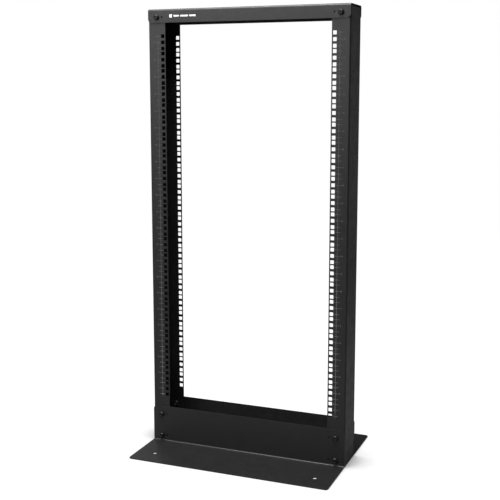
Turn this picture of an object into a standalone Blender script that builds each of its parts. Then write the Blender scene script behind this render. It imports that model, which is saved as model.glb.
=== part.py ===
"""A 22-unit open rack with two posts, bolted together from folded sheet steel.

Two channel posts carry the square equipment holes. A top bar caps them, an angle with a long
foot joins them at the floor in front and behind, and twelve bolts hold the frame together.

X runs across the rack, Y from front to back and Z up, in metres. The origin is on the floor,
midway between the posts and midway from front to back.
"""

from math import cos, pi, radians, sin

import bmesh
import bpy
from mathutils import Matrix, Vector

# Equipment rail, to the 19-inch rack standard
RACK_UNITS = 22
UNIT_HEIGHT = 0.04445
HOLE_RISES = (0.00635, 0.022225, 0.0381)  # hole centres above a unit's lower edge
HOLE_COLUMN_SPACING = 0.4651  # left column to right column
HOLE_COLUMN_EDGE = 0.00755  # from a column's middle to the post's inner edge
SQUARE_HOLE = 0.0095
UNIT_MARGIN = 0.0275  # plain rail below the first unit and above the last

# Posts
POST_FLANGE = 0.048
POST_DEPTH = 0.090
POST_SHEET = 0.002
POST_BEND = 0.004  # outer radius of each fold
WEB_HOLE = 0.005
WEB_HOLE_FORWARD = 0.0205  # in front of the web's middle
WEB_HOLE_HEIGHT = 0.425  # lower web hole, above the floor
WEB_HOLE_DROP = 0.163  # upper web hole, below the top of the rack

# Top bar and base angles
BAR_HEIGHT = 0.035
BASE_HEIGHT = 0.100
BASE_DEPTH = 0.390  # from the front foot's free edge to the rear foot's
PLATE_SHEET = 0.0025
PLATE_BEND = 0.0055  # outer radius of each fold
PLATE_CORNER = 0.010
FOOT_CORNER = 0.007
ANCHOR_HOLE = 0.0125
ANCHOR_FROM_SIDE = 0.0495
ANCHOR_FROM_EDGE = 0.055

# Bolted joints
BOLT_OUTWARD = 0.016  # from the hole column to the bolts' axes
BAR_BOLT_DROP = 0.0205  # below the top of the rack
BASE_BOLT_LOW = 0.017  # above the floor
BASE_BOLT_DROP = 0.023  # below the top edge of a base angle
LOCATING_HOLE = 0.0055  # in the bar and the base angles, beside each bolt
BOLT_DIAMETER = 0.008
BOLT_LENGTH = 0.020
BOLT_HOLE_CLEARANCE = 0.001  # added to the bolt's diameter
HEAD_DIAMETER = 0.014
HEAD_HEIGHT = 0.0044
HEAD_FLAT_DIAMETER = 0.0072
HEAD_RIM = 0.0008
SOCKET_WIDTH = 0.005  # across flats
SOCKET_DEPTH = 0.0026
WASHER_DIAMETER = 0.016
WASHER_THICKNESS = 0.0016
NUT_WIDTH = 0.013  # across flats
NUT_HEIGHT = 0.008
NUT_FLANGE_DIAMETER = 0.0179
NUT_FLANGE_HEIGHT = 0.002

GAP = 0.0003  # between pieces that touch

BEND_SEGMENTS = 4
CORNER_SEGMENTS = 5
SHANK_SIDES = 16
LARGE_SIDES = 24
SMALL_SIDES = 10
DOME_STEPS = 3

# Sizes that follow from the ones above
HOLE_COLUMN = HOLE_COLUMN_SPACING / 2
BOLT_COLUMN = HOLE_COLUMN + BOLT_OUTWARD
INNER_EDGE = HOLE_COLUMN - HOLE_COLUMN_EDGE
RACK_WIDTH = 2 * (INNER_EDGE + POST_FLANGE)
FIRST_UNIT = BASE_HEIGHT + UNIT_MARGIN
RAIL_HEIGHT = RACK_UNITS * UNIT_HEIGHT + 2 * UNIT_MARGIN  # between the base angles and the bar
RACK_HEIGHT = BASE_HEIGHT + RAIL_HEIGHT + BAR_HEIGHT
POST_HEIGHT = RACK_HEIGHT - PLATE_BEND  # the posts end just below the bar's folds
POST_FACE = POST_DEPTH / 2
PLATE_BACK = POST_FACE + GAP
PLATE_FACE = PLATE_BACK + PLATE_SHEET
BOLT_HOLE = BOLT_DIAMETER + BOLT_HOLE_CLEARANCE
BAR_BOLT_HEIGHT = RACK_HEIGHT - BAR_BOLT_DROP
BASE_BOLT_HEIGHTS = {"upper": BASE_HEIGHT - BASE_BOLT_DROP, "lower": BASE_BOLT_LOW}
BORE = BOLT_DIAMETER + 2 * GAP  # of the washers and nuts, round the bolt
SIDES = {"left": -1, "right": 1}
FACES = {"front": -1, "rear": 1}


def start_scene():
    """Empty the scene and return the collections for the parts and for the cutters."""
    for obj in list(bpy.data.objects):
        bpy.data.objects.remove(obj, do_unlink=True)
    collections = []
    for name in ("two_post_rack", "cutters"):
        collection = bpy.data.collections.new(name)
        bpy.context.scene.collection.children.link(collection)
        collections.append(collection)
    return collections


def make_material(name, color, roughness, metallic):
    """A Principled material with one colour."""
    material = bpy.data.materials.new(name)
    material.use_nodes = True
    shader = material.node_tree.nodes["Principled BSDF"]
    shader.inputs["Base Color"].default_value = (*color, 1.0)
    shader.inputs["Roughness"].default_value = roughness
    shader.inputs["Metallic"].default_value = metallic
    material.diffuse_color = (*color, 1.0)
    return material


def add_object(name, mesh, collection, parent=None):
    """Put a mesh in a collection as an object of its own."""
    obj = bpy.data.objects.new(name, mesh)
    collection.objects.link(obj)
    obj.parent = parent
    return obj


def mesh_from(name, bm):
    """Turn a bmesh into a mesh."""
    mesh = bpy.data.meshes.new(name)
    bm.to_mesh(mesh)
    bm.free()
    return mesh


def paint(obj, material):
    """Give an object its one material and smooth shading between soft edges."""
    obj.data.materials.clear()
    obj.data.materials.append(material)
    obj.data.shade_smooth()
    obj.data.set_sharp_from_angle(angle=radians(35))


def mirrored(points, side):
    """The points for one side of the rack, in the order that keeps the sheet's outside outside."""
    turned = [(side * x, y, z) for x, y, z in points]
    return turned if side < 0 else turned[::-1]


def folded_sheet(name, path, sweeps, sheet, bend, corners, collection, parent):
    """A sheet that follows a path of flats and folds, swept along one direction.

    The path is the sheet's outer face, and bend the outer radius of its folds. The sweeps follow
    each other in one line, and each makes faces of its own. Each entry of corners is a height and
    the radius that the sheet's free corners at that height are rounded to.
    """
    bm = bmesh.new()
    points = [bm.verts.new(point) for point in path]
    edges = [bm.edges.new(pair) for pair in zip(points, points[1:])]
    for sweep in sweeps:
        swept = bmesh.ops.extrude_edge_only(bm, edges=edges)["geom"]
        ends = [item for item in swept if isinstance(item, bmesh.types.BMVert)]
        bmesh.ops.translate(bm, verts=ends, vec=sweep)
        edges = [edge for edge in bm.edges if edge.verts[0] in ends and edge.verts[1] in ends]
    along = Vector(sweeps[0])
    inner_edges = [edge for edge in bm.edges if len(edge.link_faces) == 2]
    folds = [edge for edge in inner_edges if (edge.verts[0].co - edge.verts[1].co).dot(along)]
    bmesh.ops.bevel(bm, geom=folds, offset=bend, segments=BEND_SEGMENTS, profile=0.5, affect="EDGES")
    for height, radius in corners:
        tips = [v for v in bm.verts if len(v.link_edges) == 2 and abs(v.co.z - height) < GAP]
        bmesh.ops.bevel(
            bm, geom=tips, offset=radius, segments=CORNER_SEGMENTS, profile=0.5, affect="VERTICES"
        )
    obj = add_object(name, mesh_from(name, bm), collection, parent)
    solidify = obj.modifiers.new("sheet", "SOLIDIFY")
    solidify.thickness = sheet
    solidify.offset = -1
    solidify.use_even_offset = True
    return obj


def drill(bm, centre, direction, diameter, length, sides):
    """Add a round cutter through a centre, along a direction."""
    turn = Vector((0, 0, 1)).rotation_difference(Vector(direction)).to_matrix().to_4x4()
    bmesh.ops.create_cone(
        bm,
        cap_ends=True,
        segments=sides,
        radius1=diameter / 2,
        radius2=diameter / 2,
        depth=length,
        matrix=Matrix.Translation(centre) @ turn,
    )


def drill_bolt_hole(bm, side, height, reach):
    """Add the cutter of a bolt's hole."""
    drill(bm, (side * BOLT_COLUMN, 0, height), (0, 1, 0), BOLT_HOLE, reach, SHANK_SIDES)


def drill_joint(bm, side, height, reach):
    """Add the cutters of the bolt's hole and the small locating hole in a bar or a base angle."""
    drill_bolt_hole(bm, side, height, reach)
    drill(bm, (side * HOLE_COLUMN, 0, height), (0, 1, 0), LOCATING_HOLE, reach, SMALL_SIDES)


def combine(obj, operation, bm, collection):
    """Cut everything in a bmesh out of an object, or join it to the object."""
    name = "_".join((obj.name, operation.lower()))
    tool = add_object(name, mesh_from(name, bm), collection, obj)
    tool.hide_render = True
    tool.display_type = "WIRE"
    boolean = obj.modifiers.new(name, "BOOLEAN")
    boolean.operation = operation
    boolean.solver = "EXACT"
    boolean.object = tool


def hole_heights():
    """The heights of the equipment holes, from the first unit up."""
    lower_edges = [FIRST_UNIT + unit * UNIT_HEIGHT for unit in range(RACK_UNITS)]
    return [edge + rise for edge in lower_edges for rise in HOLE_RISES]


def make_post(side_name, collection, cutters, parent, material):
    """A channel post, open towards the middle, with the equipment holes in both flanges.

    The rail between the base angles and the top bar, which stays free, has faces of its own.
    """
    side = SIDES[side_name]
    outer = RACK_WIDTH / 2
    path = [
        (INNER_EDGE, -POST_FACE, 0),
        (outer, -POST_FACE, 0),
        (outer, POST_FACE, 0),
        (INNER_EDGE, POST_FACE, 0),
    ]
    post = folded_sheet(
        side_name + "_post",
        mirrored(path, side),
        [(0, 0, rise) for rise in (BASE_HEIGHT, RAIL_HEIGHT, POST_HEIGHT - BASE_HEIGHT - RAIL_HEIGHT)],
        POST_SHEET,
        POST_BEND,
        [],
        collection,
        parent,
    )
    reach = 2 * POST_DEPTH
    bm = bmesh.new()
    for height in hole_heights():
        size = Matrix.Diagonal((SQUARE_HOLE, reach, SQUARE_HOLE, 1))
        place = Matrix.Translation((side * HOLE_COLUMN, 0, height))
        bmesh.ops.create_cube(bm, size=1, matrix=place @ size)
    for height in (BAR_BOLT_HEIGHT, *BASE_BOLT_HEIGHTS.values()):
        drill_bolt_hole(bm, side, height, reach)
    for height in (WEB_HOLE_HEIGHT, RACK_HEIGHT - WEB_HOLE_DROP):
        centre = (side * outer, -WEB_HOLE_FORWARD, height)
        drill(bm, centre, (1, 0, 0), WEB_HOLE, POST_FLANGE, SMALL_SIDES)
    combine(post, "DIFFERENCE", bm, cutters)
    paint(post, material)
    return post


def make_top_bar(collection, cutters, parent, material):
    """A channel laid over both posts, open downwards."""
    lower = RACK_HEIGHT - BAR_HEIGHT
    path = [
        (-RACK_WIDTH / 2, -PLATE_FACE, lower),
        (-RACK_WIDTH / 2, -PLATE_FACE, RACK_HEIGHT),
        (-RACK_WIDTH / 2, PLATE_FACE, RACK_HEIGHT),
        (-RACK_WIDTH / 2, PLATE_FACE, lower),
    ]
    bar = folded_sheet(
        "top_bar",
        path,
        [(RACK_WIDTH, 0, 0)],
        PLATE_SHEET,
        PLATE_BEND,
        [(lower, PLATE_CORNER)],
        collection,
        parent,
    )
    bm = bmesh.new()
    for side in SIDES.values():
        drill_joint(bm, side, BAR_BOLT_HEIGHT, 2 * POST_DEPTH)
    combine(bar, "DIFFERENCE", bm, cutters)
    paint(bar, material)
    return bar


def make_base_angle(face_name, collection, cutters, parent, material):
    """An angle bolted across the posts, with a foot that runs outwards on the floor.

    It is modelled as the front one, from the top of its upright leg to the foot's free edge, and
    the rear one is the same part turned round.
    """
    edge = PLATE_BACK - BASE_DEPTH / 2
    path = [(-RACK_WIDTH / 2, 0, BASE_HEIGHT), (-RACK_WIDTH / 2, 0, 0), (-RACK_WIDTH / 2, edge, 0)]
    angle = folded_sheet(
        face_name + "_base_angle",
        path,
        [(RACK_WIDTH, 0, 0)],
        PLATE_SHEET,
        PLATE_BEND,
        [(0, FOOT_CORNER), (BASE_HEIGHT, PLATE_CORNER)],
        collection,
        parent,
    )
    angle.location = (0, FACES[face_name] * PLATE_BACK, 0)
    angle.rotation_euler = (0, 0, pi if face_name == "rear" else 0)
    bm = bmesh.new()
    for side in SIDES.values():
        for height in BASE_BOLT_HEIGHTS.values():
            drill_joint(bm, side, height, 4 * PLATE_SHEET)
        anchor = (side * (RACK_WIDTH / 2 - ANCHOR_FROM_SIDE), edge + ANCHOR_FROM_EDGE, 0)
        drill(bm, anchor, (0, 0, 1), ANCHOR_HOLE, 4 * PLATE_SHEET, LARGE_SIDES)
    combine(angle, "DIFFERENCE", bm, cutters)
    paint(angle, material)
    return angle


def turned(name, profile, sides, closed, collection):
    """A solid turned about Z. The profile runs down its outer side, and a closed one makes a ring."""
    bm = bmesh.new()
    points = [bm.verts.new((x, 0, z)) for x, z in profile]
    pairs = list(zip(points, points[1:]))
    if closed:
        pairs.append((points[-1], points[0]))
    for pair in pairs:
        bm.edges.new(pair)
    obj = add_object(name, mesh_from(name, bm), collection)
    screw = obj.modifiers.new("turn", "SCREW")
    screw.steps = sides
    screw.render_steps = sides
    screw.use_merge_vertices = True
    screw.merge_threshold = 0.00005
    return obj


def hexagon(bm, width, top, bottom):
    """Add a hexagonal prism, sized across its flats, between two heights on Z."""
    corner = width / 2 / cos(pi / 6)
    bmesh.ops.create_cone(
        bm,
        cap_ends=True,
        segments=6,
        radius1=corner,
        radius2=corner,
        depth=top - bottom,
        matrix=Matrix.Translation((0, 0, (top + bottom) / 2)),
    )


def finished(obj, material):
    """The mesh of an object with its modifiers applied. The object itself is removed."""
    depsgraph = bpy.context.evaluated_depsgraph_get()
    mesh = bpy.data.meshes.new_from_object(obj.evaluated_get(depsgraph))
    mesh.name = obj.name
    for child in obj.children:
        bpy.data.objects.remove(child, do_unlink=True)
    bpy.data.objects.remove(obj, do_unlink=True)
    mesh.materials.clear()
    mesh.materials.append(material)
    mesh.shade_smooth()
    mesh.set_sharp_from_angle(angle=radians(35))
    return mesh


def bolt_mesh(collection, cutters, material):
    """A button-head bolt with a hexagon socket. Its head rests on z = 0 and its shank hangs below."""
    flat = HEAD_FLAT_DIAMETER / 2
    across = HEAD_DIAMETER / 2 - flat
    rise = HEAD_HEIGHT - HEAD_RIM
    turns = [pi / 2 * (1 - step / DOME_STEPS) for step in range(DOME_STEPS + 1)]
    dome = [(flat + across * cos(turn), HEAD_RIM + rise * sin(turn)) for turn in turns]
    shank = [(BOLT_DIAMETER / 2, 0), (BOLT_DIAMETER / 2, -BOLT_LENGTH), (0, -BOLT_LENGTH)]
    profile = [(0, HEAD_HEIGHT), *dome, (HEAD_DIAMETER / 2, 0), *shank]
    bolt = turned("bolt", profile, SHANK_SIDES, False, collection)
    bm = bmesh.new()
    hexagon(bm, SOCKET_WIDTH, HEAD_HEIGHT + SOCKET_DEPTH, HEAD_HEIGHT - SOCKET_DEPTH)
    combine(bolt, "DIFFERENCE", bm, cutters)
    return finished(bolt, material)


def washer_mesh(collection, material):
    """A plain washer that lies on z = 0."""
    outer = WASHER_DIAMETER / 2
    inner = BORE / 2
    profile = [(outer, WASHER_THICKNESS), (outer, 0), (inner, 0), (inner, WASHER_THICKNESS)]
    return finished(turned("washer", profile, SHANK_SIDES, True, collection), material)


def nut_mesh(collection, cutters, material):
    """A hexagon nut with a flange. The flange bears on z = 0 and the hexagon hangs below."""
    rim = NUT_FLANGE_DIAMETER / 2
    shoulder = rim - NUT_FLANGE_HEIGHT / 2
    profile = [(0, 0), (rim, 0), (shoulder, -NUT_FLANGE_HEIGHT), (0, -NUT_FLANGE_HEIGHT)]
    nut = turned("nut", profile, SHANK_SIDES, False, collection)
    bm = bmesh.new()
    hexagon(bm, NUT_WIDTH, -NUT_FLANGE_HEIGHT / 2, -NUT_HEIGHT)
    combine(nut, "UNION", bm, cutters)
    bm = bmesh.new()
    drill(bm, (0, 0, 0), (0, 0, 1), BORE, 4 * NUT_HEIGHT, SHANK_SIDES)
    combine(nut, "DIFFERENCE", bm, cutters)
    return finished(nut, material)


def make_joints(collection, cutters, parent, material):
    """The bolt, washer and flange nut of every bolted joint, each set on an empty of its own.

    An empty sits on the outer face of the joined sheets, with its Z axis pointing out of the rack.
    """
    below_sheets = -(PLATE_SHEET + GAP + POST_SHEET + GAP)
    sets = {
        "bolt": (bolt_mesh(collection, cutters, material), WASHER_THICKNESS + 2 * GAP),
        "washer": (washer_mesh(collection, material), GAP),
        "nut": (nut_mesh(collection, cutters, material), below_sheets),
    }
    levels = {"top": BAR_BOLT_HEIGHT}
    levels.update({"base_" + level: height for level, height in BASE_BOLT_HEIGHTS.items()})
    for face_name, face in FACES.items():
        for side_name, side in SIDES.items():
            for level, height in levels.items():
                place = "_".join((face_name, side_name, level))
                joint = add_object("joint_" + place, None, collection, parent)
                joint.location = (side * BOLT_COLUMN, face * PLATE_FACE, height)
                joint.rotation_euler = (-face * pi / 2, 0, 0)
                for piece, (mesh, rise) in sets.items():
                    obj = add_object(place + "_" + piece, mesh, collection, joint)
                    obj.location = (0, 0, rise)


def build():
    parts, cutters = start_scene()
    rack = add_object("rack", None, parts)
    coat = make_material("black_powder_coat", (0.022, 0.022, 0.023), 0.55, 0.0)
    steel = make_material("black_zinc_steel", (0.035, 0.035, 0.038), 0.38, 0.8)
    for side_name in SIDES:
        make_post(side_name, parts, cutters, rack, coat)
    make_top_bar(parts, cutters, rack, coat)
    for face_name in FACES:
        make_base_angle(face_name, parts, cutters, rack, coat)
    make_joints(parts, cutters, rack, steel)


build()
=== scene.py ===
"""The look of the two-post rack frame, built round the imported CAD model.

Every sheet is unfolded, drawn flat with its holes and rounded edges, and folded back into the
place of its CAD node. Bolts, washers and nuts give way to ones with threads, sockets and
chamfers. X runs across the rack, Y from front to back and Z up, in metres.
"""

from math import cos, pi, radians, sin, tau

import bmesh
import bpy
from mathutils import Euler, Matrix, Vector
from mathutils.geometry import delaunay_2d_cdt


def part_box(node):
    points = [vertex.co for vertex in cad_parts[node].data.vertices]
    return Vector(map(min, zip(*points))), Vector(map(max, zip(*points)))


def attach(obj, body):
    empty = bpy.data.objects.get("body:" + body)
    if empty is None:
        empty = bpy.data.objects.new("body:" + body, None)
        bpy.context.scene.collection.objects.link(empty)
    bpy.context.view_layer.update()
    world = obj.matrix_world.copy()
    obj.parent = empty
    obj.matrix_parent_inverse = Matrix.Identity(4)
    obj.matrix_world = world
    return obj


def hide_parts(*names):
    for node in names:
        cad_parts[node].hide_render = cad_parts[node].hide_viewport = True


# Equipment rail
RACK_UNITS = 22
UNIT_HEIGHT = 0.04445
HOLE_RISES = (0.00635, 0.022225, 0.0381)  # hole centres above a unit's lower edge
FIRST_UNIT = 0.1275
HOLE_COLUMN = 0.23255
SQUARE_HOLE = 0.0095
SQUARE_HOLE_CORNER = 0.0009
SQUARE_HOLE_STEPS = 3

# Sheets
POST_SHEET = 0.002
POST_BEND = 0.004  # outer radius of each fold
POST_CORNER = 0.001
PLATE_SHEET = 0.0025
PLATE_BEND = 0.0055
PLATE_CORNER = 0.010
FOOT_CORNER = 0.007
CORNER_STEPS = 4
EDGE_ROUND = 0.00035
EDGE_STEPS = 2
BEND_STEPS = 10
SHEET_SMOOTHING = 40  # degrees; a sharper edge isn't smoothed over
LARGE_FACE_WEIGHT = 100  # the largest faces alone set the shading
FLAT_TOLERANCE = 0.0000001
FOLD_TOLERANCE = 0.000001

# Holes
BOLT_COLUMN = 0.24855
BAR_BOLT_DROP = 0.0205  # below the top of the rack
BASE_BOLT_HEIGHTS = {"base_upper": 0.077, "base_lower": 0.017}
BOLT_HOLE = 0.009
LOCATING_HOLE = 0.0055
WEB_HOLE = 0.005
WEB_HOLE_FORWARD = 0.0205  # in front of the web's middle
WEB_HOLE_HEIGHT = 0.425
WEB_HOLE_DROP = 0.163  # below the top of the rack
ANCHOR_HOLE = 0.0125
ANCHOR_FROM_SIDE = 0.0495
ANCHOR_FROM_EDGE = 0.055
HOLE_SIDES = 32

# Fasteners, on an axis that points out of the rack
GAP = 0.0003  # between one layer and the next
BOLT_DIAMETER = 0.008
BOLT_LENGTH = 0.020
THREAD_PITCH = 0.00125
THREAD_DEPTH = 0.0006
THREAD_STEPS = 6  # along each turn
THREAD_FADE = 2  # turns below the head, in which the thread reaches its depth
GROOVE_MIDDLE = 1.6  # the groove's depth, in thread depths, before it is cut off at 1
GROOVE_SLOPE = 3.6  # the thread depths that it would lose in one pitch
HEAD_DIAMETER = 0.014
HEAD_HEIGHT = 0.0044
HEAD_FLAT_DIAMETER = 0.0072
HEAD_RIM = 0.0008
HEAD_CHAMFER = 0.0002
DOME_STEPS = 10
SOCKET_WIDTH = 0.005
SOCKET_DEPTH = 0.0026
SOCKET_CHAMFER = 0.0003
WASHER_DIAMETER = 0.016
WASHER_THICKNESS = 0.0016
WASHER_EDGE = 0.0003
WASHER_EDGE_STEPS = 3
BORE = 0.0086
NUT_WIDTH = 0.013
NUT_HEIGHT = 0.008
NUT_CHAMFER_START = (0.001, 0.0011)  # out from the nut's corner and up from its end
NUT_CHAMFER_END = (-0.0017, -0.0004)
NUT_FLANGE_DIAMETER = 0.0179
NUT_FLANGE_HEIGHT = 0.002
NUT_FLANGE_EDGE = 0.0005
NUT_FLANGE_EDGE_TURN = (90, -40)  # degrees, from the bearing face round to the cone
NUT_FLANGE_EDGE_STEPS = 4
NUT_FLANGE_LIP = 0.0002  # outside the hexagon's corners
NUT_BORE_CHAMFER = 0.0005
TURNED_SIDES = 36
FASTENER_SMOOTHING = 38
WASHER_SMOOTHING = 50
SPIN = 2.4  # radians from each joint to the next, so that their sockets don't line up

# Printed marks. The places on the ruler are outward from the hole column
PRINT_THICKNESS = 0.00006
PRINT_SUNK = 0.00002
SCALE_LINE = 0.0133
TICK_START = 0.0065
TICK_END = 0.0205
LONG_TICK_END = 0.0220
NUMBER_PLACE = 0.0245
LINE_WIDTH = 0.00042
NUMBER_HEIGHT = 0.0048
NUMBER_STEPS = 2
PRINT_TOLERANCE = 0.0000005

# The mark on the bar, a row of one rounded square and some bars
MARK_HEIGHT = 1.1497
MARK_SQUARE = -0.2075  # the middle of the square
MARK_SQUARE_HALF = 0.0040
MARK_SQUARE_CORNER = 0.0012
MARK_BARS = -0.1995  # the left end of the first bar
MARK_BAR_LENGTHS = (0.016, 0.022, 0.018)
MARK_BAR_HALF = 0.0021
MARK_BAR_CORNER = 0.0016
MARK_BAR_GAP = 0.0035
MARK_CORNER_STEPS = 5
MARK_EDGE = 0.00001

# Studio
FLOOR_HALF = 12.0
FLOOR_DROP = 0.0004
FLOOR_SEEN = 0.06  # its own grey, under the glow
FLOOR_LIGHTING = 0.24  # its grey for the light that it throws back
SHADE_REACH = 0.35
SHADE_RANGE = (0.35, 0.85)  # how open the floor is to the sky, from no glow to full glow
GLOW_RANGE = (0.02, 1.0)
BACKDROP_LIGHTING = 0.03
BACKDROP_SEEN = 1.0
LENS = 68.083
SENSOR = 36.0
LENS_SHIFT = -0.05
CAMERA_PLACE = (0.9016, -2.2872, 0.9660)
CAMERA_PITCH = 8.248  # degrees below level
CAMERA_TURN = 21.646  # degrees to the left of facing the rack squarely

SIDES = {"left": -1, "right": 1}
FACES = {"front": -1, "rear": 1}


def rounded_loop(corners, radii, steps=CORNER_STEPS):
    """A closed outline through right-angled corners, each rounded to its radius."""
    loop = []
    for index, corner in enumerate(corners):
        corner = Vector(corner)
        before = (Vector(corners[index - 1]) - corner).normalized()
        after = (Vector(corners[(index + 1) % len(corners)]) - corner).normalized()
        radius = radii[index]
        centre = corner + radius * (before + after)
        for step in range(steps + 1):
            turn = pi / 2 * step / steps
            loop.append(centre - radius * (after * cos(turn) + before * sin(turn)))
    return loop


def square_loop(x, y, width, radius):
    """A square hole with rounded corners."""
    half = width / 2
    left, right, low, high = x - half, x + half, y - half, y + half
    corners = [(left, low), (right, low), (right, high), (left, high)]
    return rounded_loop(corners, [radius] * 4, SQUARE_HOLE_STEPS)


def round_loop(x, y, diameter):
    """A round hole."""
    turns = [tau * step / HOLE_SIDES for step in range(HOLE_SIDES)]
    return [Vector((x + diameter / 2 * cos(turn), y + diameter / 2 * sin(turn))) for turn in turns]


class Route:
    """The cross-section of a folded sheet: flats joined by quarter-round folds.

    The corners are those of its outer face, before rounding. A place along the unfolded sheet is
    measured on its middle, which keeps its length in a fold.
    """

    def __init__(self, corners, sheet, bend):
        self.bend = bend
        self.middle = bend - sheet / 2
        self.flats = []
        points = [Vector(corner) for corner in corners]
        turn = (points[1] - points[0]).cross(points[2] - points[1])
        side = 1 if turn > 0 else -1
        along = 0.0
        for index, (start, end) in enumerate(zip(points, points[1:])):
            direction = (end - start).normalized()
            lead = bend if index else 0.0
            tail = bend if index < len(points) - 2 else 0.0
            length = (end - start).length - lead - tail
            inward = side * Vector((-direction.y, direction.x))
            self.flats.append((along, length, lead, start + direction * lead, direction, inward))
            along += length
            if tail:
                along += self.middle * pi / 2
        self.length = along

    def along(self, flat, distance):
        """The place on the unfolded sheet of a point that far from the flat's first corner."""
        start, _, lead, *_ = self.flats[flat]
        return start + distance - lead

    def folds(self):
        """Where each fold starts and ends on the unfolded sheet."""
        pairs = zip(self.flats, self.flats[1:])
        return [(start + length, end) for (start, length, *_), (end, *_) in pairs]

    def place(self, along, depth):
        """The point of the cross-section at that place, that deep below the outer face."""
        for index, (start, length, _, origin, direction, inward) in enumerate(self.flats):
            if along <= start + length or index == len(self.flats) - 1:
                return origin + direction * (along - start) + inward * depth
            if along < self.flats[index + 1][0]:
                turn = (along - start - length) / self.middle
                centre = origin + direction * length + inward * self.bend
                return centre + (direction * sin(turn) - inward * cos(turn)) * (self.bend - depth)


def moved_in(loop, distance):
    """A closed outline moved to its left."""
    moved = []
    for index, point in enumerate(loop):
        before = (point - loop[index - 1]).normalized()
        after = (loop[(index + 1) % len(loop)] - point).normalized()
        along = (before + after).normalized()
        left = Vector((-along.y, along.x))
        moved.append(point + left * distance / left.dot(Vector((-before.y, before.x))))
    return moved


def add_plate(bm, outline, holes, thickness, edge):
    """Add a plate with holes and rounded edges, centred on z = 0.

    The outline and the holes run anticlockwise. The edges take the second material.
    """
    loops = [outline, *(hole[::-1] for hole in holes)]
    turns = [pi / 2 * step / EDGE_STEPS for step in range(EDGE_STEPS + 1)]
    profile = [(edge * (1 - sin(turn)), thickness / 2 - edge * (1 - cos(turn))) for turn in turns]
    profile += [(inset, -height) for inset, height in reversed(profile)]
    top, bottom = [], []
    for loop in loops:
        rings = []
        for inset, height in profile:
            rings.append([bm.verts.new((*point, height)) for point in moved_in(loop, inset)])
        for above, below in zip(rings, rings[1:]):
            for step in range(len(loop)):
                corners = (above[step], above[step - 1], below[step - 1], below[step])
                bm.faces.new(corners).material_index = 1
        top += rings[0]
        bottom += rings[-1]
    indices, first = [], 0
    for loop in loops:
        run = list(range(first, first + len(loop)))
        indices.append(run[::-1] if first else run)
        first += len(loop)
    flat = [vert.co.to_2d() for vert in top]
    only_inside = 1
    result = delaunay_2d_cdt(flat, [], indices, only_inside, FLAT_TOLERANCE)
    _, _, faces, origins, _, inside = result
    for face, within in zip(faces, inside):
        in_no_hole = list(within) == [0]
        if in_no_hole:
            corners = [origins[index][0] for index in face]
            bm.faces.new([top[index] for index in corners])
            bm.faces.new([bottom[index] for index in reversed(corners)])


def applied(obj):
    """The mesh of an object with its modifiers applied. The object itself is removed."""
    depsgraph = bpy.context.evaluated_depsgraph_get()
    mesh = bpy.data.meshes.new_from_object(obj.evaluated_get(depsgraph), depsgraph=depsgraph)
    bpy.data.objects.remove(obj, do_unlink=True)
    return mesh


def shaded(name, bm, materials, angle=SHEET_SMOOTHING):
    """A finished mesh: outward faces, smooth shading that keeps flats flat, and its materials."""
    bmesh.ops.recalc_face_normals(bm, faces=bm.faces)
    mesh = bpy.data.meshes.new(name)
    bm.to_mesh(mesh)
    bm.free()
    mesh.shade_smooth()
    mesh.set_sharp_from_angle(angle=radians(angle))
    obj = bpy.data.objects.new(name, mesh)
    bpy.context.scene.collection.objects.link(obj)
    weighted = obj.modifiers.new("weighted", "WEIGHTED_NORMAL")
    weighted.keep_sharp = True
    weighted.weight = LARGE_FACE_WEIGHT
    finished = applied(obj)
    bpy.data.meshes.remove(mesh)
    finished.name = name
    finished.materials.clear()
    for material in materials:
        finished.materials.append(material)
    return finished


def add_piece(name, mesh, node=None, matrix=None):
    """Put a mesh in the scene as a piece of the rack, in place of its CAD node if it has one."""
    obj = bpy.data.objects.new(name, mesh)
    bpy.context.scene.collection.objects.link(obj)
    if matrix:
        obj.matrix_world = matrix
    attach(obj, "root")
    if node:
        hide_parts(node)


def folded_sheet(node, route, width, holes, corner_radii, sheet, place, materials):
    """Draw a sheet flat, fold it along its route and put it in its CAD node's place.

    place turns a cross-section point and a place across the sheet into a point in the rack. The
    rounded edges and the walls of the holes take the second material, a painted edge highlight.
    """
    low, high = width
    outline = [(0, low), (route.length, low), (route.length, high), (0, high)]
    bm = bmesh.new()
    add_plate(bm, rounded_loop(outline, corner_radii), holes, sheet, EDGE_ROUND)
    for start, end in route.folds():
        for step in range(BEND_STEPS + 1):
            bmesh.ops.bisect_plane(
                bm,
                geom=bm.verts[:] + bm.edges[:] + bm.faces[:],
                plane_co=(start + (end - start) * step / BEND_STEPS, 0, 0),
                plane_no=(1, 0, 0),
                dist=FOLD_TOLERANCE,
            )
    for vert in bm.verts:
        point = route.place(vert.co.x, sheet / 2 - vert.co.z)
        vert.co = place(point, vert.co.y)
    add_piece(node + "_sheet", shaded(node + "_sheet", bm, materials), node)


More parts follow.
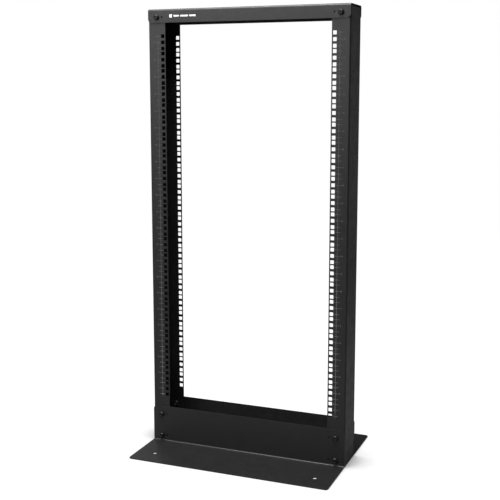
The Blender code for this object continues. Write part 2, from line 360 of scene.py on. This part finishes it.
def make_post(side_name, materials):
    """A channel post with the square equipment holes in both flanges."""
    side = SIDES[side_name]
    low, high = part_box(side_name + "_post")
    inner, outer = sorted((abs(low.x), abs(high.x)))
    face = high.y
    corners = [(inner, -face), (outer, -face), (outer, face), (inner, face)]
    route = Route(corners, POST_SHEET, POST_BEND)
    holes = []
    # The front flange is the route's first flat, the web its second and the rear flange its third
    for flat, column, bolts in (
        (0, HOLE_COLUMN - inner, BOLT_COLUMN - inner),
        (2, outer - HOLE_COLUMN, outer - BOLT_COLUMN),
    ):
        along = route.along(flat, column)
        for unit in range(RACK_UNITS):
            for rise in HOLE_RISES:
                height = FIRST_UNIT + unit * UNIT_HEIGHT + rise
                holes.append(square_loop(along, height, SQUARE_HOLE, SQUARE_HOLE_CORNER))
        for height in bolt_heights().values():
            holes.append(round_loop(route.along(flat, bolts), height, BOLT_HOLE))
    for height in (WEB_HOLE_HEIGHT, rack_top() - WEB_HOLE_DROP):
        holes.append(round_loop(route.along(1, face - WEB_HOLE_FORWARD), height, WEB_HOLE))
    folded_sheet(
        side_name + "_post",
        route,
        (low.z, high.z),
        holes,
        [POST_CORNER] * 4,
        POST_SHEET,
        lambda point, across: (side * point.x, point.y, across),
        materials,
    )


def make_top_bar(materials):
    """The channel laid over both posts."""
    low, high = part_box("top_bar")
    corners = [(low.y, low.z), (low.y, high.z), (high.y, high.z), (high.y, low.z)]
    route = Route(corners, PLATE_SHEET, PLATE_BEND)
    height = rack_top() - BAR_BOLT_DROP
    holes = []
    # The front side is the route's first flat and the rear side its third
    for flat, distance in ((0, height - low.z), (2, high.z - height)):
        for side in SIDES.values():
            holes.append(round_loop(route.along(flat, distance), side * BOLT_COLUMN, BOLT_HOLE))
            holes.append(round_loop(route.along(flat, distance), side * HOLE_COLUMN, LOCATING_HOLE))
    folded_sheet(
        "top_bar",
        route,
        (low.x, high.x),
        holes,
        [PLATE_CORNER] * 4,
        PLATE_SHEET,
        lambda point, across: (across, point.x, point.y),
        materials,
    )


def make_base_angle(face_name, materials):
    """An angle bolted across the posts, with its foot on the floor."""
    face = FACES[face_name]
    low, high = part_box(face_name + "_base_angle")
    back, edge = sorted((abs(low.y), abs(high.y)))
    route = Route([(back, high.z), (back, 0), (edge, 0)], PLATE_SHEET, PLATE_BEND)
    holes = []
    # The upright leg is the route's first flat and the foot its second
    for side in SIDES.values():
        for height in BASE_BOLT_HEIGHTS.values():
            distance = high.z - height
            holes.append(round_loop(route.along(0, distance), side * BOLT_COLUMN, BOLT_HOLE))
            holes.append(round_loop(route.along(0, distance), side * HOLE_COLUMN, LOCATING_HOLE))
        anchor = route.along(1, edge - back - ANCHOR_FROM_EDGE)
        holes.append(round_loop(anchor, side * (high.x - ANCHOR_FROM_SIDE), ANCHOR_HOLE))
    folded_sheet(
        face_name + "_base_angle",
        route,
        (low.x, high.x),
        holes,
        [PLATE_CORNER, FOOT_CORNER, FOOT_CORNER, PLATE_CORNER],
        PLATE_SHEET,
        lambda point, across: (across, face * point.x, point.y),
        materials,
    )


def rack_top():
    """The height of the rack."""
    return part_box("top_bar")[1].z


def bolt_heights():
    """The height of each level of bolts."""
    return {"top": rack_top() - BAR_BOLT_DROP, **BASE_BOLT_HEIGHTS}


def skin(bm, rings, closed=False):
    """Join rings of vertices one after another. A ring of one vertex is a tip on the axis."""
    pairs = list(zip(rings, rings[1:]))
    if closed:
        pairs.append((rings[-1], rings[0]))
    for above, below in pairs:
        sides = max(len(above), len(below))
        for step in range(sides):
            following = (step + 1) % sides
            corners = [above[step % len(above)], above[following % len(above)]]
            corners += [below[following % len(below)], below[step % len(below)]]
            bm.faces.new(list(dict.fromkeys(corners)))


def turned_rings(bm, profile):
    """A ring of vertices about Z for each radius and height of a profile."""
    rings = []
    for radius, height in profile:
        sides = TURNED_SIDES if radius > 0 else 1
        ring = []
        for step in range(sides):
            turn = tau * step / sides
            ring.append(bm.verts.new((radius * cos(turn), radius * sin(turn), height)))
        rings.append(ring)
    return rings


def turned(profile, closed=False):
    """A solid turned about Z. An open profile starts and ends on the axis."""
    bm = bmesh.new()
    skin(bm, turned_rings(bm, profile), closed)
    return bm


def hexagon(width, top, bottom):
    """A hexagonal prism, sized across its flats, between two heights."""
    bm = bmesh.new()
    corner = corner_radius(width)
    place = Matrix.Translation((0, 0, (top + bottom) / 2))
    bmesh.ops.create_cone(
        bm,
        cap_ends=True,
        segments=6,
        radius1=corner,
        radius2=corner,
        depth=top - bottom,
        matrix=place,
    )
    return bm


def corner_radius(width):
    """How far the corners of a hexagon are from its middle, from its size across the flats."""
    return width / 2 / cos(pi / 6)


def arc(centre, radius, start, end, steps):
    """Points of an arc in a turning profile. Angles are in degrees, from the radial direction."""
    turns = [radians(start + (end - start) * step / steps) for step in range(steps + 1)]
    return [(centre[0] + radius * cos(turn), centre[1] + radius * sin(turn)) for turn in turns]


def solid(name, bm):
    """An object in the scene for a modifier to work on."""
    bmesh.ops.recalc_face_normals(bm, faces=bm.faces)
    mesh = bpy.data.meshes.new(name)
    bm.to_mesh(mesh)
    bm.free()
    obj = bpy.data.objects.new(name, mesh)
    bpy.context.scene.collection.objects.link(obj)
    return obj


def combined(obj, operation, bm):
    """The object with another solid cut out of it, joined to it or kept in common with it."""
    tool = solid(obj.name + "_tool", bm)
    boolean = obj.modifiers.new(operation, "BOOLEAN")
    boolean.operation = operation
    boolean.solver = "EXACT"
    boolean.object = tool
    name = obj.name
    mesh = applied(obj)
    bpy.data.objects.remove(tool, do_unlink=True)
    result = bpy.data.objects.new(name, mesh)
    bpy.context.scene.collection.objects.link(result)
    return result


def fastener(obj, material):
    """The finished mesh of a bolt or nut. The object itself is removed."""
    bm = bmesh.new()
    bm.from_mesh(obj.data)
    name = obj.name
    bpy.data.objects.remove(obj, do_unlink=True)
    return shaded(name, bm, [material], FASTENER_SMOOTHING)


def thread_rings(bm, radius, length):
    """Rings of a helical thread that hangs from z = 0.

    It fades in at its upper end and has a chamfer at its lower end.
    """
    rows = round(length / THREAD_PITCH * THREAD_STEPS)
    rings = []
    for row in range(rows + 1):
        height = -length * row / rows
        fade = min(1.0, -height / (THREAD_FADE * THREAD_PITCH))
        chamfered = radius - max(0.0, THREAD_DEPTH - (height + length))
        ring = []
        for step in range(TURNED_SIDES):
            turn = tau * step / TURNED_SIDES
            phase = (height / THREAD_PITCH - step / TURNED_SIDES) % 1.0
            groove = min(1.0, max(0.0, GROOVE_MIDDLE - abs(phase - 0.5) * GROOVE_SLOPE))
            reach = min(radius - THREAD_DEPTH * fade * groove, chamfered)
            ring.append(bm.verts.new((reach * cos(turn), reach * sin(turn), height)))
        rings.append(ring)
    return rings


def bolt_mesh(material):
    """A button-head bolt with a hexagon socket. Its head rests on z = 0, its shank below."""
    flat = HEAD_FLAT_DIAMETER / 2
    across = HEAD_DIAMETER / 2 - flat
    rise = HEAD_HEIGHT - HEAD_RIM
    profile = [(0, HEAD_HEIGHT)]
    for step in range(DOME_STEPS + 1):
        turn = pi / 2 * (1 - step / DOME_STEPS)
        profile.append((flat + across * cos(turn), HEAD_RIM + rise * sin(turn)))
    profile += [(HEAD_DIAMETER / 2, HEAD_CHAMFER), (HEAD_DIAMETER / 2 - HEAD_CHAMFER, 0)]
    bm = bmesh.new()
    rings = turned_rings(bm, profile)
    rings += thread_rings(bm, BOLT_DIAMETER / 2, BOLT_LENGTH)
    rings.append([bm.verts.new((0, 0, -BOLT_LENGTH))])
    skin(bm, rings)
    bolt = solid("bolt", bm)
    socket = hexagon(SOCKET_WIDTH, HEAD_HEIGHT + SOCKET_DEPTH, HEAD_HEIGHT - SOCKET_DEPTH)
    bolt = combined(bolt, "DIFFERENCE", socket)
    corner = corner_radius(SOCKET_WIDTH)
    above = HEAD_HEIGHT + SOCKET_CHAMFER
    below = HEAD_HEIGHT - 2 * SOCKET_CHAMFER
    wide = corner + 2 * SOCKET_CHAMFER
    narrow = corner - SOCKET_CHAMFER
    cone = [(0, above), (wide, above), (narrow, below), (0, below)]
    return fastener(combined(bolt, "DIFFERENCE", turned(cone)), material)


def washer_mesh(material):
    """A plain washer with rounded edges that lies on z = 0."""
    outer = WASHER_DIAMETER / 2 - WASHER_EDGE
    inner = BORE / 2 + WASHER_EDGE
    top = WASHER_THICKNESS - WASHER_EDGE
    profile = [
        *arc((outer, top), WASHER_EDGE, 90, 0, WASHER_EDGE_STEPS),
        *arc((outer, WASHER_EDGE), WASHER_EDGE, 0, -90, WASHER_EDGE_STEPS),
        *arc((inner, WASHER_EDGE), WASHER_EDGE, 270, 180, WASHER_EDGE_STEPS),
        *arc((inner, top), WASHER_EDGE, 180, 90, WASHER_EDGE_STEPS),
    ]
    return shaded("washer", turned(profile, closed=True), [material], WASHER_SMOOTHING)


def nut_mesh(material):
    """A chamfered hexagon nut on a flange. The flange bears on z = 0, the hexagon is below."""
    corner = corner_radius(NUT_WIDTH)
    end = -NUT_HEIGHT
    nut = solid("nut", hexagon(NUT_WIDTH, -NUT_FLANGE_HEIGHT / 2, end))
    chamfer = [(corner + out, end + up) for out, up in (NUT_CHAMFER_START, NUT_CHAMFER_END)]
    clear = NUT_CHAMFER_START[0]
    envelope = [(0, clear), (corner + clear, clear), *chamfer, (0, chamfer[-1][1])]
    nut = combined(nut, "INTERSECT", turned(envelope))
    edge_centre = (NUT_FLANGE_DIAMETER / 2 - NUT_FLANGE_EDGE, -NUT_FLANGE_EDGE)
    edge = arc(edge_centre, NUT_FLANGE_EDGE, *NUT_FLANGE_EDGE_TURN, NUT_FLANGE_EDGE_STEPS)
    flange = [(0, 0), *edge, (corner + NUT_FLANGE_LIP, -NUT_FLANGE_HEIGHT), (0, -NUT_FLANGE_HEIGHT)]
    nut = combined(nut, "UNION", turned(flange))
    bore = BORE / 2
    wide = bore + 2 * NUT_BORE_CHAMFER
    cutter = [
        (0, NUT_BORE_CHAMFER),
        (wide, NUT_BORE_CHAMFER),
        (bore, -NUT_BORE_CHAMFER),
        (bore, end + NUT_BORE_CHAMFER),
        (wide, end - NUT_BORE_CHAMFER),
        (0, end - NUT_BORE_CHAMFER),
    ]
    return fastener(combined(nut, "DIFFERENCE", turned(cutter)), material)


def make_joints(material):
    """The bolt, washer and nut of every joint, each in the place of its CAD node."""
    sheets = -(PLATE_SHEET + GAP + POST_SHEET + GAP)
    sets = {
        "bolt": (bolt_mesh(material), WASHER_THICKNESS + 2 * GAP),
        "washer": (washer_mesh(material), GAP),
        "nut": (nut_mesh(material), sheets),
    }
    plate_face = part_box("top_bar")[1].y
    turn = 0
    for face_name, face in FACES.items():
        out = Euler((-face * pi / 2, 0, 0)).to_matrix().to_4x4()
        for side_name, side in SIDES.items():
            for level, height in bolt_heights().items():
                turn += 1
                spin = Matrix.Rotation(turn * SPIN, 4, "Z")
                for kind, (mesh, rise) in sets.items():
                    node = "_".join((face_name, side_name, level, kind))
                    centre = (side * BOLT_COLUMN, face * (plate_face + rise), height)
                    place = Matrix.Translation(centre) @ out @ spin
                    add_piece(node + "_detail", mesh, node, place)


def add_box(bm, low, high):
    """Add a closed box between two corners."""
    size = [b - a for a, b in zip(low, high)]
    middle = [(a + b) / 2 for a, b in zip(low, high)]
    place = Matrix.Translation(middle) @ Matrix.Diagonal((*size, 1))
    bmesh.ops.create_cube(bm, size=1, matrix=place)


def add_mesh(bm, mesh, centre):
    """Add a mesh drawn on a flat sheet to a front face, with the sheet's origin at the centre."""
    mesh.transform(Matrix.Translation(centre) @ Matrix.Rotation(pi / 2, 4, "X"))
    bm.from_mesh(mesh)
    bpy.data.meshes.remove(mesh)


def add_number(bm, number, centre, thickness):
    """Add a printed number to a front face."""
    text = bpy.data.curves.new("number", "FONT")
    text.body = str(number)
    text.size = NUMBER_HEIGHT
    text.align_x = "CENTER"
    text.align_y = "CENTER"
    text.resolution_u = NUMBER_STEPS
    text.extrude = thickness / 2
    obj = bpy.data.objects.new("number", text)
    bpy.context.scene.collection.objects.link(obj)
    add_mesh(bm, applied(obj), centre)
    bpy.data.curves.remove(text)


def make_rail_marks(side_name, material):
    """The ruler printed beside the holes: a tick for each hole, a number for each unit."""
    side = SIDES[side_name]
    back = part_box(side_name + "_post")[0].y + PRINT_SUNK
    front = back - PRINT_SUNK - PRINT_THICKNESS
    half = LINE_WIDTH / 2
    bm = bmesh.new()

    def line(start, end, low, high):
        """Print a bar between two distances outward from the hole column and two heights."""
        xs = sorted((side * (HOLE_COLUMN + start), side * (HOLE_COLUMN + end)))
        add_box(bm, (xs[0], front, low), (xs[1], back, high))

    line(SCALE_LINE - half, SCALE_LINE + half, FIRST_UNIT, FIRST_UNIT + RACK_UNITS * UNIT_HEIGHT)
    for unit in range(RACK_UNITS):
        edge = FIRST_UNIT + unit * UNIT_HEIGHT
        for rise in HOLE_RISES:
            height = edge + rise
            end = LONG_TICK_END if rise == HOLE_RISES[-1] else TICK_END
            line(TICK_START, SCALE_LINE - LINE_WIDTH, height - half, height + half)
            line(SCALE_LINE + LINE_WIDTH, end, height - half, height + half)
        number_x = side * (HOLE_COLUMN + NUMBER_PLACE)
        add_number(bm, unit + 1, (number_x, (front + back) / 2, edge + HOLE_RISES[1]), back - front)
    bmesh.ops.remove_doubles(bm, verts=bm.verts, dist=PRINT_TOLERANCE)
    name = side_name + "_rail_marks"
    add_piece(name, shaded(name, bm, [material]))


def make_bar_mark(material):
    """A plain mark in the place of a maker's print: a rounded square and three bars."""
    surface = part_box("top_bar")[0].y
    middle = (surface + PRINT_SUNK + surface - PRINT_THICKNESS) / 2
    shapes = [(MARK_SQUARE, 2 * MARK_SQUARE_HALF, MARK_SQUARE_HALF, MARK_SQUARE_CORNER)]
    start = MARK_BARS
    for length in MARK_BAR_LENGTHS:
        shapes.append((start + length / 2, length, MARK_BAR_HALF, MARK_BAR_CORNER))
        start += length + MARK_BAR_GAP
    bm = bmesh.new()
    for centre, length, rise, radius in shapes:
        left, right = centre - length / 2, centre + length / 2
        corners = [(left, -rise), (right, -rise), (right, rise), (left, rise)]
        outline = rounded_loop(corners, [radius] * 4, MARK_CORNER_STEPS)
        plate = bmesh.new()
        add_plate(plate, outline, [], PRINT_THICKNESS + PRINT_SUNK, MARK_EDGE)
        mesh = bpy.data.meshes.new("bar_mark")
        plate.to_mesh(mesh)
        plate.free()
        add_mesh(bm, mesh, (0, middle, MARK_HEIGHT))
    # The ink is one material, so the edges don't take a second one
    for face in bm.faces:
        face.material_index = 0
    add_piece("bar_mark", shaded("bar_mark", bm, [material]))


def new_material(name):
    """A material with nodes, its node tree and its Principled shader."""
    material = bpy.data.materials.new(name)
    material.use_nodes = True
    tree = material.node_tree
    return material, tree, tree.nodes["Principled BSDF"]


def own_coordinates(tree):
    """The coordinates of the piece itself, in metres."""
    return tree.nodes.new("ShaderNodeTexCoord").outputs["Object"]


def noise(tree, scale, detail=2.0, roughness=0.5):
    """A noise in the piece's own coordinates. Its scale is in cycles per metre."""
    texture = tree.nodes.new("ShaderNodeTexNoise")
    texture.inputs["Scale"].default_value = scale
    texture.inputs["Detail"].default_value = detail
    texture.inputs["Roughness"].default_value = roughness
    tree.links.new(own_coordinates(tree), texture.inputs["Vector"])
    return texture.outputs["Fac"]


def ramp(tree, value, stops):
    """A colour ramp through positions and their RGB colours."""
    node = tree.nodes.new("ShaderNodeValToRGB")
    elements = node.color_ramp.elements
    for element, (position, level) in zip(elements, (stops[0], stops[-1])):
        element.position = position
        element.color = (*level, 1.0)
    for position, level in stops[1:-1]:
        elements.new(position).color = (*level, 1.0)
    tree.links.new(value, node.inputs["Fac"])
    return node.outputs["Color"]


def remapped(tree, value, low, high, start=0.3, end=0.7):
    """A value moved from one range, the middle of a noise's unless given, to another."""
    node = tree.nodes.new("ShaderNodeMapRange")
    levels = {"From Min": start, "From Max": end, "To Min": low, "To Max": high}
    for socket, level in levels.items():
        node.inputs[socket].default_value = level
    tree.links.new(value, node.inputs["Value"])
    return node.outputs["Result"]


def weighted_sum(tree, value, weight, added):
    """A value times its weight, with another value added."""
    node = tree.nodes.new("ShaderNodeMath")
    node.operation = "MULTIPLY_ADD"
    node.inputs[1].default_value = weight
    tree.links.new(value, node.inputs[0])
    tree.links.new(added, node.inputs[2])
    return node.outputs["Value"]


def bumps(tree, shader, layers):
    """Chain bumps of (height, strength, distance) into the shader's normal."""
    normal = None
    for height, strength, distance in layers:
        bump = tree.nodes.new("ShaderNodeBump")
        bump.inputs["Strength"].default_value = strength
        bump.inputs["Distance"].default_value = distance
        tree.links.new(height, bump.inputs["Height"])
        if normal:
            tree.links.new(normal, bump.inputs["Normal"])
        normal = bump.outputs["Normal"]
    tree.links.new(normal, shader.inputs["Normal"])


def powder_coat(name, darkest, lightest, roughness):
    """Black powder coat: a fine orange peel, a speckled colour and a gloss that drifts a little."""
    material, tree, shader = new_material(name)
    speckle = noise(tree, scale=900.0, detail=3.0, roughness=0.6)
    cloud = noise(tree, scale=14.0, detail=3.0, roughness=0.55)
    drift = noise(tree, scale=60.0, detail=4.0, roughness=0.6)
    speckle = remapped(tree, speckle, low=0.15, high=0.45)
    tone = weighted_sum(tree, cloud, weight=0.45, added=speckle)
    color = ramp(tree, tone, [(0.2, darkest), (0.8, lightest)])
    tree.links.new(color, shader.inputs["Base Color"])
    tree.links.new(remapped(tree, drift, *roughness), shader.inputs["Roughness"])
    shader.inputs["IOR"].default_value = 1.5
    orange_peel = (noise(tree, scale=420.0), 0.35, 0.00012)
    grain = (noise(tree, scale=1500.0, detail=1.0), 0.3, 0.00004)
    bumps(tree, shader, [orange_peel, grain])
    return material


def black_steel(name):
    """Black-finished steel with a fine grain and lighter rubbed spots."""
    material, tree, shader = new_material(name)
    worn = noise(tree, scale=600.0, detail=4.0, roughness=0.65)
    stops = [
        (0.35, (0.016, 0.016, 0.018)),
        (0.6, (0.030, 0.030, 0.033)),
        (0.78, (0.075, 0.075, 0.078)),
    ]
    gloss = remapped(tree, noise(tree, scale=250.0, detail=3.0), low=0.3, high=0.48)
    tree.links.new(ramp(tree, worn, stops), shader.inputs["Base Color"])
    tree.links.new(gloss, shader.inputs["Roughness"])
    shader.inputs["Metallic"].default_value = 0.65
    grain = (noise(tree, scale=2200.0, detail=3.0), 0.25, 0.00003)
    bumps(tree, shader, [grain])
    return material


def printed(name, dark, light, scale, fade=None):
    """Screen-printed ink: a thin film whose colour is uneven.

    With fade, the heights where it is clearest and faintest, it darkens between them: painted
    light, standing in for the top light's sheen that washes the print out up high.
    """
    material, tree, shader = new_material(name)
    cover = remapped(tree, noise(tree, scale, detail=3.0, roughness=0.6), low=0.0, high=1.0)
    # Painted light: the ink darkens with height, for the top light's sheen that hides the print up
    # high
    if fade:
        axes = tree.nodes.new("ShaderNodeSeparateXYZ")
        tree.links.new(own_coordinates(tree), axes.inputs["Vector"])
        clearest, faintest = fade
        painted_sheen_fade = remapped(tree, axes.outputs["Z"], low=0.9, high=0.1, start=clearest, end=faintest)
        cover = weighted_sum(tree, cover, weight=0.25, added=painted_sheen_fade)
    color = ramp(tree, cover, [(0.0, (dark,) * 3), (1.0, (light,) * 3)])
    gloss = remapped(tree, noise(tree, scale=300.0), low=0.38, high=0.5)
    tree.links.new(color, shader.inputs["Base Color"])
    tree.links.new(gloss, shader.inputs["Roughness"])
    grain = (noise(tree, scale=900.0), 0.2, 0.00003)
    bumps(tree, shader, [grain])
    return material


def seen_or_lighting(tree):
    """A factor that is 1 for what is seen directly and 0 for what lights or is reflected."""
    path = tree.nodes.new("ShaderNodeLightPath")
    return path.outputs["Is Camera Ray"]


def make_floor():
    """A plain pale floor that glows where it is seen, less in the shade, and lights little."""
    material, tree, shader = new_material("pale_floor")
    shader.inputs["Base Color"].default_value = (*(FLOOR_SEEN,) * 3, 1.0)
    shader.inputs["Roughness"].default_value = 0.9
    shader.inputs["Emission Color"].default_value = (1.0, 1.0, 1.0, 1.0)
    open_sky = tree.nodes.new("ShaderNodeAmbientOcclusion")
    open_sky.samples = 8
    open_sky.inputs["Distance"].default_value = SHADE_REACH
    glow = remapped(tree, open_sky.outputs["AO"], *GLOW_RANGE, *SHADE_RANGE)
    tree.links.new(glow, shader.inputs["Emission Strength"])
    dim = tree.nodes.new("ShaderNodeBsdfDiffuse")
    dim.inputs["Color"].default_value = (*(FLOOR_LIGHTING,) * 3, 1.0)
    mix = tree.nodes.new("ShaderNodeMixShader")
    tree.links.new(seen_or_lighting(tree), mix.inputs["Fac"])
    tree.links.new(dim.outputs["BSDF"], mix.inputs[1])
    tree.links.new(shader.outputs["BSDF"], mix.inputs[2])
    tree.links.new(mix.outputs["Shader"], tree.nodes["Material Output"].inputs["Surface"])
    bm = bmesh.new()
    place = Matrix.Translation((0, 0, -FLOOR_DROP))
    bmesh.ops.create_grid(bm, x_segments=8, y_segments=8, size=FLOOR_HALF, matrix=place)
    mesh = bpy.data.meshes.new("floor")
    bm.to_mesh(mesh)
    bm.free()
    mesh.materials.append(material)
    floor = bpy.data.objects.new("floor", mesh)
    bpy.context.scene.collection.objects.link(floor)


def make_world():
    """A white backdrop that lights the rack only faintly, so that the soft boxes shape it."""
    world = bpy.data.worlds.new("studio")
    bpy.context.scene.world = world
    world.use_nodes = True
    tree = world.node_tree
    background = tree.nodes["Background"]
    mix = tree.nodes.new("ShaderNodeMix")
    mix.data_type = "FLOAT"
    mix.inputs["A"].default_value = BACKDROP_LIGHTING
    mix.inputs["B"].default_value = BACKDROP_SEEN
    tree.links.new(seen_or_lighting(tree), mix.inputs["Factor"])
    background.inputs["Color"].default_value = (1.0, 1.0, 1.0, 1.0)
    tree.links.new(mix.outputs["Result"], background.inputs["Strength"])


def soft_box(name, place, target, size, radiance):
    """A rectangular soft box that faces a target and gives that radiance."""
    width, height = size
    light = bpy.data.lights.new(name, "AREA")
    light.shape = "RECTANGLE"
    light.size = width
    light.size_y = height
    light.energy = radiance * pi * width * height
    obj = bpy.data.objects.new(name, light)
    bpy.context.scene.collection.objects.link(obj)
    obj.location = place
    obj.rotation_euler = (Vector(target) - Vector(place)).to_track_quat("-Z", "Y").to_euler()


def make_lights():
    """Soft boxes from the front left and above, with weaker ones behind and on either side."""
    soft_box("key", place=(-1.3, -2.6, 1.8), target=(0, 0, 0.9), size=(2.6, 1.8), radiance=2.6)
    soft_box("top", place=(-0.2, -0.8, 3.0), target=(0, -0.1, 0.1), size=(2.0, 1.6), radiance=15.0)
    soft_box("rim", place=(1.7, 3.4, 0.7), target=(0.27, 0, 0.5), size=(2.6, 1.8), radiance=0.16)
    soft_box("back", place=(-2.6, 2.4, 1.6), target=(0, 0, 0.5), size=(1.6, 1.6), radiance=1.0)
    soft_box("right", place=(3.8, 0.0, 1.0), target=(0, 0, 0.6), size=(0.6, 2.2), radiance=0.9)
    soft_box("rear", place=(-0.9, 4.2, 0.5), target=(0, 0, 0.6), size=(1.4, 0.8), radiance=0.12)


def make_camera():
    """The camera, in front of the rack and to its right, a little lower than its top."""
    data = bpy.data.cameras.new("camera")
    data.lens = LENS
    data.sensor_width = SENSOR
    data.shift_y = LENS_SHIFT
    camera = bpy.data.objects.new("camera", data)
    bpy.context.scene.collection.objects.link(camera)
    camera.location = CAMERA_PLACE
    camera.rotation_euler = (radians(90 - CAMERA_PITCH), 0, radians(CAMERA_TURN))
    bpy.context.scene.camera = camera


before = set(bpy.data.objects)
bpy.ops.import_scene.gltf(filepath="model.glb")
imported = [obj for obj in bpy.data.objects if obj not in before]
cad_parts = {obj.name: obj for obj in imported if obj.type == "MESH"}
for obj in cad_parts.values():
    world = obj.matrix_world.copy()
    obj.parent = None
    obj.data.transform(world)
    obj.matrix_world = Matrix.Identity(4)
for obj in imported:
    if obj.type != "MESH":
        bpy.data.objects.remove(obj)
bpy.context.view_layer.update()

coat = powder_coat(
    "powder_coat",
    darkest=(0.007, 0.007, 0.0074),
    lightest=(0.013, 0.013, 0.0134),
    roughness=(0.36, 0.48),
)
# A lighter copy of the coat on the rounded edges and hole walls: a painted highlight along them
edge_highlight_coat = powder_coat(
    "powder_coat_edge_highlight",
    darkest=(0.014, 0.014, 0.0145),
    lightest=(0.034, 0.034, 0.035),
    roughness=(0.34, 0.46),
)
steel = black_steel("black_zinc_steel")
# The ruler's ink darkens towards the top: painted light, for the top light's sheen over it
grey_ink = printed("grey_ink", dark=0.03, light=0.42, scale=700.0, fade=(0.2, 0.9))
white_ink = printed("white_ink", dark=0.70, light=0.85, scale=500.0)

for side_name in SIDES:
    make_post(side_name, [coat, edge_highlight_coat])
    make_rail_marks(side_name, grey_ink)
make_top_bar([coat, edge_highlight_coat])
for face_name in FACES:
    make_base_angle(face_name, [coat, edge_highlight_coat])
make_joints(steel)
make_bar_mark(white_ink)

make_floor()
make_world()
make_lights()
make_camera()
bpy.context.scene.view_settings.view_transform = "Standard"
